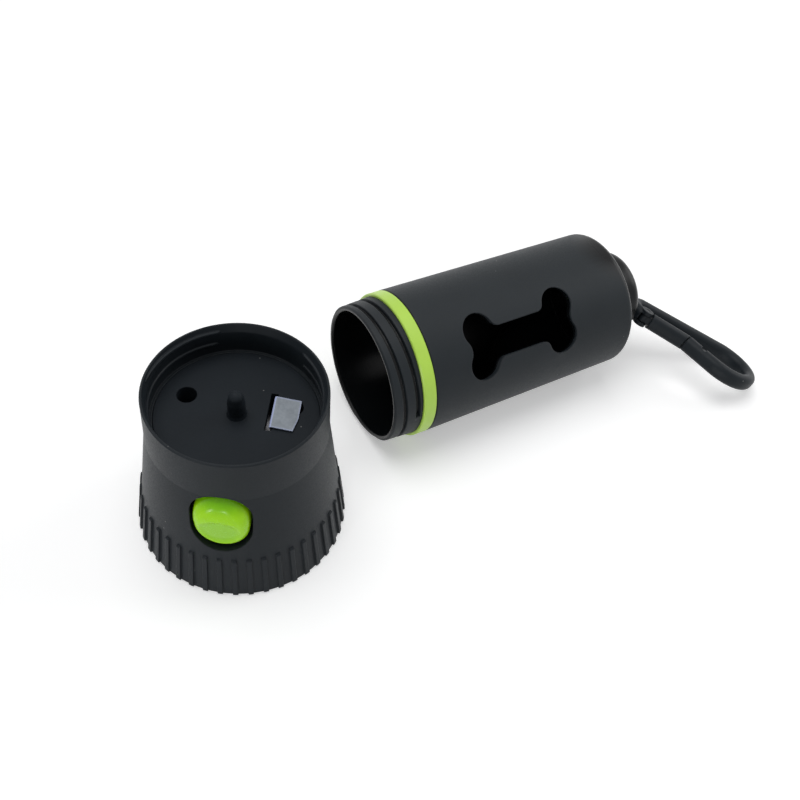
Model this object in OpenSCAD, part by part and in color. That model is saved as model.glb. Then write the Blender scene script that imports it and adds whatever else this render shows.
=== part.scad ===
// Dog waste-bag dispenser with a built-in torch.
// The torch head stands on its lens with the screw socket up; the bag canister lies beside it, mouth towards
// the head, with its snap hook resting on the surface.  Millimetres, +Z up, surface at z = 0.

/* [Torch head] */
// Height of the torch head from the ribbed foot to the socket rim
head_h = 51; // [48:0.5:60]
// Outer radius of the collar at the socket's rim
rim_r = 23.8; // [23.5:0.1:24.4]
// Outer radius where the collar meets the cone
collar_r = 24.1; // [23.7:0.1:24.6]
// Width of the foot round the lens
foot_w = 3.1; // [2.6:0.1:5]
// Height of the collar below the rim
collar_h = 13.4; // [12.8:0.1:15]
// Wall of the head's cone and collar
head_wall = 2; // [1.6:0.1:2.4]
// Edge chamfer of the socket rim
rim_chamfer = 0.3; // [0.2:0.1:0.5]
// Width and depth of the lead-in slope inside the socket rim
rim_lead = 0.6; // [0.5:0.1:1.3]

/* [Grip ribs] */
// Number of grip ribs round the foot
rib_count = 44; // [30:1:50]
// Height of the ribbed band
rib_band = 14.3; // [10:0.1:16]
// How far the ribs stand out of the cone
rib_proud = 0.6; // [0.3:0.05:0.9]
// Angular width of one rib in degrees
rib_arc = 2.8; // [2:0.1:5]

/* [Screw thread] */
// Depth of the socket from the rim to the battery cover
socket_depth = 9.3; // [9:0.1:11]
// Radius of the socket wall
socket_r = 21.5; // [21.4:0.05:21.7]
// Lead of the thread in one turn
thread_pitch = 4; // [3.6:0.1:4.2]
// Width of the crest of a thread rib
thread_w = 0.5; // [0.4:0.05:0.9]
// Width of a thread rib where it leaves the wall
thread_root_w = 0.9; // [0.8:0.05:1.3]
// Clearance between the head's ribs and the neck's grooves
thread_fit = 0.25; // [0.15:0.05:0.35]
// Opening in degrees between the two halves of each thread turn
thread_gap = 59; // [40:1:90]
// Direction of that opening from the row of cover screws
thread_gap_at = 81; // [60:1:120]
// Depth of the upper thread turn below the rim at that opening
thread_top = 1.55; // [1.5:0.05:1.8]

/* [Battery compartment] */
// Thickness of the battery cover
deck_t = 2.4; // [2:0.1:3]
// Radius of the post that the bag roll stands on
post_r = 2.35; // [2:0.05:2.8]
// Height of that post above the cover
post_h = 8.2; // [6:0.1:8.6]
// Distance of each cover screw from the middle plane
screw_x = 14; // [13.8:0.1:14.4]
// Offset of the cover screws from the post
screw_y = 4.3; // [3.5:0.1:5]
// Radius of the screw wells in the cover
well_r = 2.7; // [2.4:0.1:2.8]
// Diameter of one button cell
cell_d = 11.6; // [11:0.1:11.6]
// Thickness of one button cell
cell_t = 5.4; // [5:0.1:5.4]
// Offset of the cell stack from the post
cell_y = 2; // [1:0.1:2.5]
// Offset of the cell stack towards the leaf contact's side
cell_x = 0.7; // [0:0.1:0.9]
// Width of the isolating tab
tab_w = 10.8; // [9:0.1:11.8]
// Thickness of the isolating tab
tab_t = 0.3; // [0.2:0.05:0.35]
// Length of the folded end of the tab
tab_flap = 7; // [5:0.1:8]

/* [Lamp] */
// Radius of the clear front lens
lens_r = 26; // [25:0.1:26.4]
// Thickness of the lens
lens_t = 1.8; // [1.5:0.1:2.2]
// Depth of the lens behind the foot
lens_set = 1.6; // [1.4:0.1:2.2]
// Wall of the reflector
reflector_t = 0.9; // [0.7:0.1:1.2]
// Radius of the LED
led_r = 2.5; // [2:0.1:2.6]

/* [Button] */
// Width of the push button
button_w = 15.2; // [13:0.1:16]
// Height of the push button
button_h = 19.6; // [17.6:0.1:19.8]
// Distance of the middle of the button below the rim
button_drop = 22.9; // [22.6:0.1:23.4]
// How far the crest of the button stands out of the cone
button_proud = 1.2; // [0.6:0.1:1.8]
// Rounding of the button's edge
button_edge = 2.4; // [1.6:0.1:3]
// Depth of the dish in the button
button_dish = 0.5; // [0.2:0.05:0.8]
// Gap round the button
button_gap = 0.5; // [0.3:0.05:0.6]
// Travel of the button
button_travel = 1.2; // [0.8:0.1:1.4]

/* [Canister] */
// Length of the canister from the mouth to the closed end
can_len = 83.6; // [78:0.1:95]
// Outer radius of the canister at the trim ring
can_r = 22; // [21.9:0.05:22.2]
// Outer radius of the canister at the closed end
end_r = 21; // [20.8:0.05:21.8]
// Radius of the straight bag chamber
bore_r = 19.2; // [18.5:0.05:19.3]
// Thickness of the closed end
end_t = 2.2; // [1.8:0.1:3]
// Length of the threaded neck in front of the trim ring
neck_len = 8.9; // [8.6:0.1:9]
// Outer radius of the neck at its lip
neck_r = 20.7; // [20.6:0.05:20.8]
// Depth of the neck's thread grooves
groove_d = 0.8; // [0.6:0.05:0.9]
// Width of the green trim ring
ring_w = 3.95; // [3:0.05:5]
// Rounding of the closed end's edge
end_round = 2; // [1:0.1:3]

/* [Bone window] */
// Length of the bone-shaped window
bone_len = 37; // [32:0.1:42]
// Width of the window across its knuckles
bone_w = 19.6; // [17:0.1:21]
// Radius of one knuckle
knuckle_r = 4.9; // [4.2:0.1:5.2]
// Width of the window's shaft
shaft_w = 9.2; // [7:0.1:10]
// Fillet between the shaft and a knuckle
shaft_fillet = 2.4; // [1.5:0.1:3]
// Depth of the notch between the two knuckles of one end
bone_notch = 1.3; // [1:0.1:1.6]
// Distance of the window's middle from the mouth
bone_x = 43.4; // [40:0.1:46]
// Angle of the window from the top of the canister
bone_turn = 47.5; // [35:0.5:60]

/* [Snap hook] */
// Radius of the domed boss on the closed end
boss_r = 13; // [12:0.1:13.6]
// Height of the boss
boss_h = 9.8; // [9.4:0.1:12]
// Rounding of the boss
boss_round = 3; // [2:0.1:4.5]
// Depth of the hook's pivot below the top of the boss
pivot_in = 2.8; // [2.8:0.1:3.6]
// Width of the hook's bar in the plane of its loop
bar_w = 4.2; // [3.6:0.1:4.4]
// Thickness of the bar through the loop
bar_t = 5.2; // [4.6:0.1:5.6]
// Distance from the hook's pivot to the middle of its nose arc
nose_x = 44.4; // [42:0.1:50]
// Offset of the nose arc towards the gate's side
nose_side = 0.7; // [0:0.1:1.5]
// Radius of the nose arc at the middle of the bar
nose_r = 9.4; // [8.6:0.1:11]
// Radius of the root arc at the middle of the bar
root_r = 3.7; // [3.4:0.1:4]
// Distance from the hook's pivot to the end of the gate
gate_end = 29.8; // [27:0.1:31]
// Offset of the gate's end from the middle of the loop
gate_side_y = 3.3; // [2.8:0.1:3.8]
// Direction of the hook seen from above
hook_heading = -50; // [-60:0.1:-40]
// Turn of the hook about its own length
hook_roll = -23; // [-30:0.5:-12]

/* [Layout] */
// Distance of the head from the canister's mouth, along the canister
head_x = -44.4; // [-50:0.1:-38]
// Offset of the head across the canister
head_y = -13.8; // [-20:0.1:-8]
// Turn of the head about its own axis
head_turn = -33.5; // [-45:0.5:-20]
// Row position of the canister's mouth along X
mouth_x = -26.86; // [-30:0.01:-20]
// Row position of the canister's mouth along Y
mouth_y = 11.126; // [5:0.001:20]

/* [Hidden] */
$fn = 96;
eps = 0.01;
seat_gap = 0.15;                       // play between pieces that are laid into one another
run_gap = 0.06;                        // radial play of a pin in its bore

// Torch head
foot_r = lens_r + foot_w;              // outer radius of the cone at the foot, between the ribs
deck_z = head_h - socket_depth;        // top of the battery cover
cone_top = head_h - collar_h;          // where the cone meets the collar
ledge_w = 1.8;                         // width of the ledge under the battery cover
ledge_t = 1.2;
floor_z = deck_z - deck_t - cell_d - 1.4;   // top of the bulkhead that carries the batteries
bulkhead_t = 1.8;
board_t = 1.2;
board_z = floor_z - bulkhead_t - board_t;   // underside of the LED board
post_boss_r = 3;                       // radius of the posts that take the cover screws
well_depth = 7.4;                      // depth of the screw wells below the cover's top
well_floor = 1.2;
screw_head_r = 2.2;
screw_head_t = 1.5;
screw_slot = 2.8;
screw_r = 1;
screw_len = 7;
boss_top = deck_z - well_depth - well_floor;
stack_half = cell_t * 1.5;             // half length of the stack of cells
film_x = cell_x + stack_half + 0.1;    // inner face of the isolating tab
slot_low = film_x - 1.2;               // slot in the cover for the isolating tab
slot_high = film_x + tab_t + 0.35;
slot_len = tab_w + 1.6;
tab_bend = 0.75;                       // radius of the film's bend, and the slope of its free end
tab_droop = 5;
tray_wall = 0.9;
tray_floor = 0.5;
contact_t = 0.3;
leaf_gap = 1.2;
leaf_x = cell_x - stack_half - leaf_gap;    // outer face of the leaf contact
plate_x = film_x + tab_t + 0.1;        // inner face of the plate contact
cell_z = floor_z + tray_floor + cell_d / 2 + 0.1;
leg_w = 2.4;                           // width of the legs that carry the current to the LED board
leg_gap = 0.2;
board_r = norm([plate_x + contact_t, cell_y + leg_w / 2]) + 0.4;
post_flare = 0.35;                     // spread and height of the post's foot
post_foot = 1;
post_tip_r = post_r - 0.3;             // radius of the post's domed tip

// Lamp
lens_bore_r = lens_r + 0.2;            // bore in the foot that takes the lens
seal_w = 1.2;
seal_t = 0.8;
lens_top = lens_set + lens_t;
flange_z = lens_top + seal_t;          // underside of the reflector's flange
flange_t = 1;
shoulder_z = flange_z + flange_t;      // shoulder in the foot that the reflector's flange meets
shoulder_r = lens_bore_r - 1.4;
reflector_top = board_z - reflector_t - 0.3;
reflector_mouth = shoulder_r - 1.3;
reflector_neck = led_r + 0.3;

// Button, pressed along +Y of the head's own frame
button_z = head_h - button_drop;       // height of the button's middle above the foot
crest_up = 4.3;                        // height of the button's crest above its middle
button_reach = cone_r(button_z + crest_up) + button_proud;   // distance of the crest from the head's axis
button_depth = 6.7;
wing_t = 1.2;
button_back = button_reach - button_depth - wing_t;   // distance of the button's back from the head's axis
wing_w = button_w + 3;
wing_h = button_h - 3;
wing_gap = 0.3;                        // play of the wings in the head's wall
crest_low_r = 68;                      // side-view radii below and above the crest, and radius across
crest_top_r = 12.6;
crest_side_r = 32;
dish_down = 3;                         // place and half size of the dish
dish_w = 5.6;
dish_h = 6.6;
sleeve_in = button_back + wing_t + 0.3;  // inner face of the sleeve round the button
sleeve_t = 1.5;
switch_w = 8;
switch_h = 6.4;
switch_front = button_back - button_travel - 1.2;
switch_back = switch_front - 5;
plunger_r = 1.6;
plunger_tip = button_back - 0.1;
plunger_bore = 3.2;

// Canister
lay_tilt = atan((can_r - end_r) / (can_len - neck_len - ring_w));
body_z = neck_len + ring_w + 0.15;     // where the body begins behind the trim ring
lay_z = can_r * cos(lay_tilt) + (neck_len + ring_w) * sin(lay_tilt);
seat_r = neck_r + 0.4;                 // radius of the neck under the trim ring
lip_round = 0.4;
groove_start = 1.5;
groove_turns = 2;
groove_w = thread_w + 0.5;

// Snap hook.  Its own frame has the pivot at the origin, X along the hook and the loop in the XY plane.
pivot_x = can_len + boss_h - pivot_in; // pivot of the hook on the canister's axis
pivot_z = lay_z - pivot_x * sin(lay_tilt);
pin_r = 1.5;
eye_r = 2.6;
eye_w = 6.5;
link_slot = 7;
boss_pin_len = 2 * boss_r - 2.4;
bar_r = bar_w / 2;
bar_side = (bar_t - bar_w) / 2;        // the bar's section is two half circles this far above and below its middle
bar_step = 0.02;                       // the straight bars end inside the slightly thicker arcs
root_x = 13.4;                         // middle of the root arc, along the hook
hub_r = 3;
hub_start = 4.4;
hub_len = root_x - root_r + 0.6 - hub_start;
stem_r = 1.3;
stem_head_r = 2;
stem_head_t = 1.2;
stem_neck = 1.8;                       // length of the hub's bore round the stem
gate_pin_r = 0.7;
gate_eye_r = 1.5;
gate_eye_t = 2.4;
gate_slot = 2.8;                       // slot between the root's cheeks for the gate's eye
gate_neck = bar_r + 0.4;               // the gate's full section starts this far from its pivot
gate_turn = atan2(root_r - gate_side_y, gate_end - root_x);   // direction of the closed gate in the loop
gate_len = norm([gate_end - root_x, root_r - gate_side_y]);
seam_cut = 30;                         // slant of the seam at the gate's free end
seam_gap = 0.3;
recess_at = 6.2;                       // latch recess, along the stub from the seam
recess_r = 1.3;
recess_depth = 0.6;

// The back bar touches both arcs; the stub runs from the gate's end to the nose arc.
loop_len = norm([nose_x - root_x, nose_side]);
back_turn = asin((nose_r - root_r) / loop_len) - atan2(nose_side, nose_x - root_x);
back_len = sqrt(pow(loop_len, 2) - pow(nose_r - root_r, 2));
stub_reach = norm([nose_x - gate_end, gate_side_y - nose_side]);
stub_turn = atan2(gate_side_y - nose_side, nose_x - gate_end) - asin(nose_r / stub_reach);
stub_len = sqrt(pow(stub_reach, 2) - pow(nose_r, 2));

// The hook dips until its nose rests on the surface.
function nose_low(dip) = pivot_z - nose_x * sin(dip) - nose_side * cos(dip) * sin(hook_roll) - bar_r
    - bar_side * cos(dip) * cos(hook_roll) - nose_r * sqrt(pow(sin(dip), 2) + pow(cos(dip) * sin(hook_roll), 2));
function rest_dip(low, high, steps) = steps == 0 ? low
    : nose_low((low + high) / 2) > 0 ? rest_dip((low + high) / 2, high, steps - 1)
    : rest_dip(low, (low + high) / 2, steps - 1);
hook_dip = rest_dip(0, 60, 30);

// Direction of the hook in the row, seen along and across the canister's own axis
hook_dir = [cos(hook_heading) * cos(hook_dip), sin(hook_heading) * cos(hook_dip), -sin(hook_dip)];
hook_swing = acos(hook_dir[0] * cos(lay_tilt) - hook_dir[2] * sin(lay_tilt));
slot_turn = atan2(hook_dir[0] * sin(lay_tilt) + hook_dir[2] * cos(lay_tilt), hook_dir[1]);

// Points of an arc from angle a to angle b
function arc(x, y, r, a, b, n) = [for (i = [0:n])
    let (t = a + (b - a) * i / n) [x + r * cos(t), y + r * sin(t)]];

// One stretch of thread: a trapezoid swept along a right-handed helix from angle a to angle b, cut off flat at top
module helix(root, tip, root_w, tip_w, a, b, z_at_zero, top) {
    steps = ceil((b - a) / 7.5);
    rings = [for (i = [0:steps]) let (t = a + (b - a) * i / steps, z = z_at_zero + thread_pitch * t / 360)
        for (q = [[root, -root_w / 2], [tip, -tip_w / 2], [tip, tip_w / 2], [root, root_w / 2]])
            [q[0] * cos(t), q[0] * sin(t), min(z + q[1], top)]];
    sides = [for (i = [0:steps - 1], j = [0:3])
        [4 * i + j, 4 * i + (j + 1) % 4, 4 * i + 4 + (j + 1) % 4, 4 * i + 4 + j]];
    caps = [[3, 2, 1, 0], [4 * steps, 4 * steps + 1, 4 * steps + 2, 4 * steps + 3]];
    faces = concat(sides, caps);
    flip = root > tip;
    polyhedron(rings, flip ? [for (f = faces) [for (k = [len(f) - 1:-1:0]) f[k]]] : faces);
}

module row_canister() {
    translate([mouth_x, mouth_y, lay_z])
        rotate([0, lay_tilt, 0]) rotate([0, 90, 0]) rotate([0, 0, 90]) children();
}

module row_head() {
    translate([mouth_x + head_x, mouth_y + head_y, 0]) rotate([0, 0, head_turn]) children();
}

// The hook's frame: pivot at the origin, X along the hook, loop in the XY plane
module row_hook() {
    translate([mouth_x + pivot_x * cos(lay_tilt), mouth_y, pivot_z])
        rotate([0, 0, hook_heading]) rotate([0, hook_dip, 0]) rotate([hook_roll, 0, 0]) children();
}

// The link's frame: pivot at the origin, X along the hook, Y along the boss pin
module row_link() {
    row_canister() rotate([0, 0, slot_turn]) translate([0, 0, pivot_x]) rotate([0, hook_swing - 90, 0]) children();
}

// ---- Torch head, in its own frame: foot at z = 0, button towards -Y ----

function cone_r(z) = collar_r + (foot_r - collar_r) * (cone_top - z) / cone_top;

module button_outline(w, h) {
    straight = h - w;
    for (s = [-1, 1]) translate([0, s * straight / 2]) circle(d = w);
    square([w, straight], center = true);
}

module button_prism(w, h, from, to) {
    translate([0, -from, button_z]) rotate([90, 0, 0]) linear_extrude(to - from) button_outline(w, h);
}

module head_body() {
    rotate_extrude() polygon(concat(
        [[0, 0], [foot_r, 0], [collar_r, cone_top], [rim_r, head_h - rim_chamfer],
         [rim_r - rim_chamfer, head_h], [0, head_h]]));
}

module grip_rib() {
    rotate([0, 0, -rib_arc / 2]) rotate_extrude(angle = rib_arc) polygon([
        [cone_r(0) - 1, 0], [cone_r(0) + rib_proud - 0.3, 0], [cone_r(0.3) + rib_proud, 0.3],
        [cone_r(rib_band) + rib_proud, rib_band - 0.3], [cone_r(rib_band) + rib_proud - 0.3, rib_band],
        [cone_r(rib_band) - 1, rib_band]]);
}

module grip_ribs() {
    for (i = [0:rib_count - 1]) rotate([0, 0, -91.3 + i * 360 / rib_count]) grip_rib();
}

// Hollow above the bulkhead up to the rim, with the ledge for the battery cover
module head_upper_hollow() {
    ledge_z = deck_z - deck_t;
    rotate_extrude() polygon([
        [0, floor_z], [cone_r(floor_z) - head_wall, floor_z],
        [cone_r(cone_top) - head_wall, ledge_z - ledge_t - ledge_w],
        [socket_r - ledge_w, ledge_z - ledge_t], [socket_r - ledge_w, ledge_z], [socket_r, ledge_z],
        [socket_r, head_h - rim_lead], [socket_r + rim_lead, head_h + eps], [0, head_h + eps]]);
}

// Hollow below the bulkhead, with the shoulder for the reflector and the bore for the lens
module head_lower_hollow() {
    top = floor_z - bulkhead_t;
    rotate_extrude() polygon([
        [0, -eps], [lens_bore_r, -eps], [lens_bore_r, shoulder_z], [shoulder_r, shoulder_z],
        [cone_r(shoulder_z + 3) - head_wall - 1, shoulder_z + 3], [cone_r(top) - head_wall, top], [0, top]]);
}

module screw_posts() {
    for (s = [-1, 1]) {
        translate([s * screw_x, screw_y, floor_z - eps]) cylinder(r = post_boss_r, h = boss_top - floor_z + eps);
    }
}

module thread_ribs() {
    crest = neck_r - groove_d + thread_fit;
    root = socket_r + rim_lead;
    root_w = thread_w + (thread_root_w - thread_w) * (root - crest) / (socket_r - crest);
    top = head_h - 0.02;
    z_at_zero = head_h - thread_top - thread_pitch * thread_gap_at / 360;
    first = thread_gap_at + thread_gap / 2;
    last = thread_gap_at + 180 - thread_gap / 2;
    // the upper turn runs out before it reaches the rim
    lead_in = thread_gap_at + 360 * (thread_top - thread_w / 2 - 0.2) / thread_pitch;
    for (turn = [0, 1]) {
        z = z_at_zero - turn * thread_pitch;
        helix(root, crest, root_w, thread_w, first - 180, last - 180, z, top);
        helix(root, crest, root_w, thread_w, first, turn == 0 ? min(last, lead_in) : last, z, top);
    }
}

module head_shell() {
    color([0.24, 0.25, 0.26]) row_head() {
        difference() {
            union() {
                difference() {
                    union() {
                        head_body();
                        grip_ribs();
                    }
                    head_upper_hollow();
                    head_lower_hollow();
                    intersection() {
                        translate([-wing_w / 2 - 1, -foot_r, floor_z - bulkhead_t - 1])
                            cube([wing_w + 2, foot_r - switch_front - 0.6, bulkhead_t + 1 + eps]);
                        cylinder(r = cone_r(floor_z) - head_wall, h = head_h);
                    }
                }
                intersection() {
                    head_body();
                    difference() {
                        button_prism(button_w + 2 * sleeve_t, button_h + 2 * sleeve_t, sleeve_in, foot_r + 1);
                        translate([0, 0, deck_z - deck_t - ledge_t]) cylinder(r = foot_r + 1, h = head_h);
                    }
                }
                screw_posts();
                thread_ribs();
            }
            button_prism(button_w + 2 * button_gap, button_h + 2 * button_gap,
                button_back - button_travel, foot_r + 2);
            translate([-wing_w / 2 - wing_gap, -sleeve_in, button_z - wing_h / 2 - wing_gap])
                cube([wing_w + 2 * wing_gap, sleeve_in - button_back + button_travel, wing_h + 2 * wing_gap]);
            for (s = [-1, 1]) translate([s * screw_x, screw_y, boss_top + well_floor - screw_len - 0.4])
                cylinder(r = screw_r, h = screw_len + 1);
            for (x = [leaf_x, plate_x]) translate([x - leg_gap, cell_y - leg_w / 2 - leg_gap, floor_z - bulkhead_t - 1])
                cube([contact_t + 2 * leg_gap, leg_w + 2 * leg_gap, bulkhead_t + 2]);
        }
    }
}

module battery_cover() {
    color([0.17, 0.18, 0.19]) row_head() {
        difference() {
            union() {
                translate([0, 0, deck_z - deck_t]) cylinder(r = socket_r - seat_gap, h = deck_t);
                for (s = [-1, 1]) translate([s * screw_x, screw_y, boss_top])
                    cylinder(r = well_r + 0.9, h = well_depth);
                translate([0, 0, deck_z - eps]) cylinder(r1 = post_r + post_flare, r2 = post_r, h = post_foot);
                translate([0, 0, deck_z - eps]) cylinder(r = post_r, h = post_h * 0.55 + eps);
                translate([0, 0, deck_z + post_h * 0.55 - eps])
                    cylinder(r1 = post_r, r2 = post_tip_r, h = post_h * 0.45 - post_tip_r + 2 * eps);
                translate([0, 0, deck_z + post_h - post_tip_r]) sphere(r = post_tip_r);
            }
            for (s = [-1, 1]) translate([s * screw_x, screw_y, 0]) {
                translate([0, 0, boss_top + well_floor]) cylinder(r = well_r, h = well_depth + 1);
                translate([0, 0, boss_top - 1]) cylinder(r = screw_r + 0.3, h = well_floor + 2);
            }
            translate([slot_low, cell_y - slot_len / 2, deck_z - deck_t - 1])
                cube([slot_high - slot_low, slot_len, deck_t + 2]);
        }
    }
}

module cover_screws() {
    color("silver") row_head() for (s = [-1, 1]) translate([s * screw_x, screw_y, boss_top + well_floor]) {
        difference() {
            cylinder(r = screw_head_r, h = screw_head_t);
            for (a = [0, 90]) rotate([0, 0, a]) translate([-screw_slot / 2, -0.25, screw_head_t - 0.8])
                cube([screw_slot, 0.5, 1]);
        }
        translate([0, 0, -screw_len]) cylinder(r = screw_r, h = screw_len + eps);
    }
}

module battery_tray() {
    inner_low = leaf_x - 0.1;
    inner_high = plate_x + contact_t + 0.1;
    inner_w = cell_d + 0.4;
    wall_h = cell_d * 0.55;
    color([0.12, 0.12, 0.13]) row_head() translate([0, cell_y, floor_z]) difference() {
        translate([inner_low - tray_wall, -inner_w / 2 - tray_wall, 0])
            cube([inner_high - inner_low + 2 * tray_wall, inner_w + 2 * tray_wall, wall_h]);
        translate([inner_low, -inner_w / 2, tray_floor]) cube([inner_high - inner_low, inner_w, wall_h]);
        for (x = [leaf_x, plate_x]) translate([x - leg_gap, -leg_w / 2 - leg_gap, -1])
            cube([contact_t + 2 * leg_gap, leg_w + 2 * leg_gap, 3]);
    }
}

module button_cells() {
    can_t = cell_t * 0.72;
    color([0.75, 0.76, 0.78]) row_head() for (i = [-1, 0, 1])
        translate([cell_x + i * cell_t - cell_t / 2, cell_y, cell_z]) rotate([0, 90, 0]) {
            cylinder(r = cell_d / 2, h = can_t);
            translate([0, 0, can_t - eps]) cylinder(r = cell_d / 2 - 1, h = cell_t - can_t + eps - 0.02);
        }
}

module contact_leg(x) {
    translate([x, cell_y - leg_w / 2, board_z + board_t]) cube([contact_t, leg_w, floor_z + 2 - board_z - board_t]);
}

module contact_leaf() {
    color("silver") row_head() {
        contact_leg(leaf_x);
        translate([leaf_x, cell_y - 4, floor_z + tray_floor + 0.1]) cube([contact_t, 8, cell_d * 0.75]);
        translate([leaf_x + contact_t - eps, cell_y, cell_z]) rotate([0, 90, 0])
            cylinder(r1 = 2.6, r2 = 1.2, h = leaf_gap - contact_t - 0.05 + eps);
    }
}

module contact_plate() {
    color("silver") row_head() {
        contact_leg(plate_x);
        translate([plate_x, cell_y - 4, floor_z + tray_floor + 0.1]) cube([contact_t, 8, cell_d * 0.75]);
    }
}

// Side view of the film: up through the slot, over in a round bend, and down its slope to the free end
module film_profile() {
    bend_z = deck_z + 1.2;
    turn = 90 + tab_droop;
    end = [sin(tab_droop), cos(tab_droop)];
    tip = [tab_bend, bend_z] + tab_flap * [cos(tab_droop), -sin(tab_droop)];
    polygon(concat(
        [[0, cell_z - 3]], arc(tab_bend, bend_z, tab_bend, 180, 180 - turn, 10), [tip + tab_bend * end],
        [tip + (tab_bend - tab_t) * end], arc(tab_bend, bend_z, tab_bend - tab_t, 180 - turn, 180, 10),
        [[tab_t, cell_z - 3]]));
}

module isolating_tab() {
    color([0.55, 0.6, 0.63]) row_head() translate([film_x, cell_y + tab_w / 2, 0]) rotate([90, 0, 0])
        linear_extrude(tab_w) film_profile();
}

module led_board() {
    color([0.12, 0.35, 0.2]) row_head() translate([0, 0, board_z]) cylinder(r = board_r, h = board_t);
}

module led() {
    color([0.95, 0.95, 0.85]) row_head() {
        translate([0, 0, board_z - 4.5]) cylinder(r = led_r, h = 4.5);
        translate([0, 0, board_z - 4.5]) sphere(r = led_r);
    }
}

// Parabola through the reflector's neck and mouth
function dish(r) = reflector_top - (pow(r, 2) - pow(reflector_neck, 2))
    / (pow(reflector_mouth, 2) - pow(reflector_neck, 2)) * (reflector_top - flange_z);

module reflector() {
    n = 14;
    step = (reflector_mouth - reflector_neck) / n;
    inner = [for (i = [0:n]) [reflector_neck + i * step, dish(reflector_neck + i * step)]];
    outer = [for (i = [n:-1:0])
        [reflector_neck + i * step + reflector_t * i / n, dish(reflector_neck + i * step) + reflector_t]];
    color([0.85, 0.86, 0.88]) row_head() rotate_extrude() union() {
        polygon(concat(inner, outer));
        translate([reflector_mouth - 0.2, flange_z])
            square([lens_bore_r - seat_gap - reflector_mouth + 0.2, flange_t - 0.02]);
    }
}

module lens_seal() {
    color([0.1, 0.1, 0.1]) row_head() translate([0, 0, lens_top]) difference() {
        cylinder(r = lens_r - 0.1, h = seal_t - 0.02);
        translate([0, 0, -1]) cylinder(r = lens_r - 0.1 - seal_w, h = seal_t + 2);
    }
}

module lens() {
    color([0.9, 0.95, 1, 0.4]) row_head() translate([0, 0, lens_set + 0.02]) cylinder(r = lens_r, h = lens_t - 0.04);
}

module lens_ring() {
    color([0.24, 0.25, 0.26]) row_head() difference() {
        translate([0, 0, 0.3]) cylinder(r = lens_bore_r - 0.05, h = lens_set - 0.3);
        translate([0, 0, -1]) cylinder(r1 = lens_r - 0.8, r2 = lens_r - 2, h = lens_set + 2);
    }
}

module switch_body() {
    color([0.15, 0.15, 0.16]) row_head() difference() {
        translate([-switch_w / 2, -switch_front, floor_z]) cube([switch_w, switch_front - switch_back, switch_h]);
        translate([0, -switch_front - 1, button_z]) rotate([-90, 0, 0])
            cylinder(r = plunger_r + run_gap, h = plunger_bore + 1);
    }
}

module switch_plunger() {
    color("white") row_head() translate([0, -plunger_tip, button_z]) rotate([-90, 0, 0])
        cylinder(r = plunger_r, h = plunger_tip - switch_front + plunger_bore - button_travel - 0.4);
}

// The button's face: an arched pad with its crest above the middle and a shallow dish below it
function button_face(x, z) = button_reach - pow(x, 2) / (2 * crest_side_r)
    - pow(z - crest_up, 2) / (2 * (z > crest_up ? crest_top_r : crest_low_r))
    - button_dish * max(0, 1 - pow(x / dish_w, 2) - pow((z + dish_down) / dish_h, 2));

// Point of the button's outline, moved inwards
function button_edge_point(angle, inset) = let (r = button_w / 2 - inset, straight = (button_h - button_w) / 2)
    [r * cos(angle), r * sin(angle) + (sin(angle) > 0 ? straight : -straight)];

module button_pad() {
    n = 48;
    base = button_back + wing_t - eps;
    turns = [for (a = [0:15:90]) [button_edge * (1 - cos(a)), button_edge * (1 - sin(a))]];
    insets = [for (k = [1:4]) [button_edge + (button_w / 2 - button_edge) * k / 4.5, 0]];
    levels = concat([[0, -1]], turns, insets);
    points = [for (level = levels, i = [0:n - 1])
        let (q = button_edge_point((i + 0.5) * 360 / n, level[0]))
        [q[0], -(level[1] < 0 ? base : button_face(q[0], q[1]) - level[1]), button_z + q[1]]];
    last = len(levels) - 1;
    sides = [for (k = [0:last - 1], i = [0:n - 1])
        [k * n + i, (k + 1) * n + i, (k + 1) * n + (i + 1) % n, k * n + (i + 1) % n]];
    cap = [for (i = [0:n - 1]) [last * n + (i + 1) % n, last * n + i, len(points)]];
    middle = [0, -button_face(0, 0), button_z];
    polyhedron(concat(points, [middle]), concat(sides, cap, [[for (i = [0:n - 1]) i]]));
}

module button() {
    color([0.5, 0.74, 0.2]) row_head() {
        button_pad();
        translate([-wing_w / 2, -button_back - wing_t, button_z - wing_h / 2]) cube([wing_w, wing_t, wing_h]);
    }
}

// ---- Canister, in its own frame: mouth at z = 0, closed end at z = can_len, window towards +X side ----

function can_radius(z) = can_r - (can_r - end_r) * (z - neck_len - ring_w) / (can_len - neck_len - ring_w);

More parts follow.
